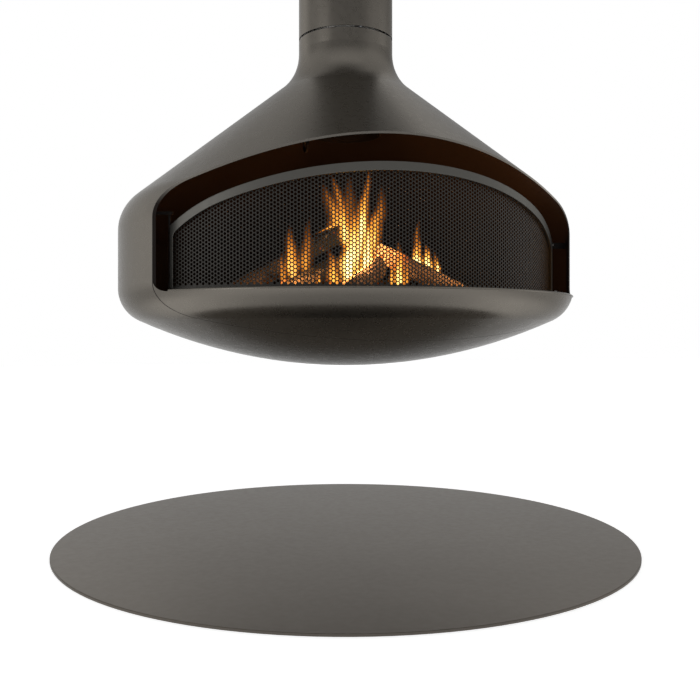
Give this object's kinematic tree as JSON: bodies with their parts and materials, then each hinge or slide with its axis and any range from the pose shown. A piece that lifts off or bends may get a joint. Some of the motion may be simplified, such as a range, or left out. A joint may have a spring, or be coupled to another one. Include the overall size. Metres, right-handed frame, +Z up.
{
  "type": "hanging fireplace",
  "caption": "Round steel fireplace hung from the ceiling on its flue, turning on a ball race, with an arched opening, curved hinged spark screen, damper and round floor plate.",
  "frame": {"origin": "on the fireplace's upright axis, at the underside of the floor plate, which lies on the floor", "axes": "+Z up along the flue to the ceiling, -Y out of the opening towards the room, +X to the right as one faces the opening"},
  "size_m": [1.4998, 1.4998, 2.4],
  "materials": {
    "satin_paint": "satin heat-proof paint, warm anthracite",
    "plate_paint": "satin powder coat, warm anthracite",
    "screen_paint": "satin",
    "sheet_paint": "matt",
    "dark_steel": "matt heat-proof paint",
    "zinc_plate": "zinc plated",
    "stainless": "satin stainless",
    "brass": "plain",
    "rope_seal": "graphited glass rope",
    "cast_iron": "as cast",
    "firebrick": "rough, sooted",
    "log_bark": "bark, charred"
  },
  "bodies": {
    "flue_hanger": {"floor_plate": "plate_paint", "ceiling_plate": "zinc_plate", "suspension_rods": "zinc_plate", "rod_nuts": "zinc_plate", "flue_liner": "stainless", "flue_seal": "rope_seal", "tube_spacers": "zinc_plate", "fixed_race": "stainless", "cover_tube": "satin_paint", "ceiling_rosette": "satin_paint", "rosette_screws": "zinc_plate"},
    "ball_race": {"bearing_balls": "stainless", "ball_cage": "brass"},
    "fireplace": {"rotating_collar": "stainless", "neck_flange": "dark_steel", "collar_bolts": "zinc_plate", "hood_shell": "satin_paint", "bowl_shell": "satin_paint", "rim_bead": "satin_paint", "seam_strip": "dark_steel", "seam_nuts": "zinc_plate", "throat_tube": "dark_steel", "damper_bushes": "stainless", "fire_back": "cast_iron", "fire_back_studs": "zinc_plate", "hearth_tiles": "firebrick", "ash_pan": "dark_steel", "fire_grate": "cast_iron", "upper_hinge_bracket": "dark_steel", "lower_hinge_bracket": "dark_steel", "screen_catch": "dark_steel", "fire_log_middle": "log_bark", "fire_log_left": "log_bark", "fire_log_right": "log_bark", "fire_log_front_left": "log_bark", "fire_log_front_right": "log_bark"},
    "spark_screen": {"screen_frame": "screen_paint", "screen_sheet": "sheet_paint", "hinge_pins": "stainless", "screen_knob": "stainless", "catch_striker": "stainless"},
    "damper": {"damper_spindle": "stainless", "damper_blade": "dark_steel", "damper_screws": "zinc_plate", "damper_lever": "dark_steel"}
  },
  "joints": [
    {"name": "fireplace_turn", "type": "hinge", "parent": "flue_hanger", "child": "fireplace", "pos_m": [0, 0, 1.3445], "axis": [0, 0, 1], "continuous": true},
    {"name": "ball_race_turn", "type": "hinge", "parent": "flue_hanger", "child": "ball_race", "pos_m": [0, 0, 1.3445], "axis": [0, 0, 1], "continuous": true},
    {"name": "screen_hinge", "type": "hinge", "parent": "fireplace", "child": "spark_screen", "pos_m": [-0.49652, -0.2183, 0.7], "axis": [0, 0, -1], "range_deg": [0, 75]},
    {"name": "damper_turn", "type": "hinge", "parent": "fireplace", "child": "damper", "pos_m": [0, 0, 1.15], "axis": [-1, 0, 0], "range_deg": [0, 85]}
  ],
  "couplings": [
    {"joint": "ball_race_turn", "follows": "fireplace_turn", "ratio": 0.5}
  ]
}
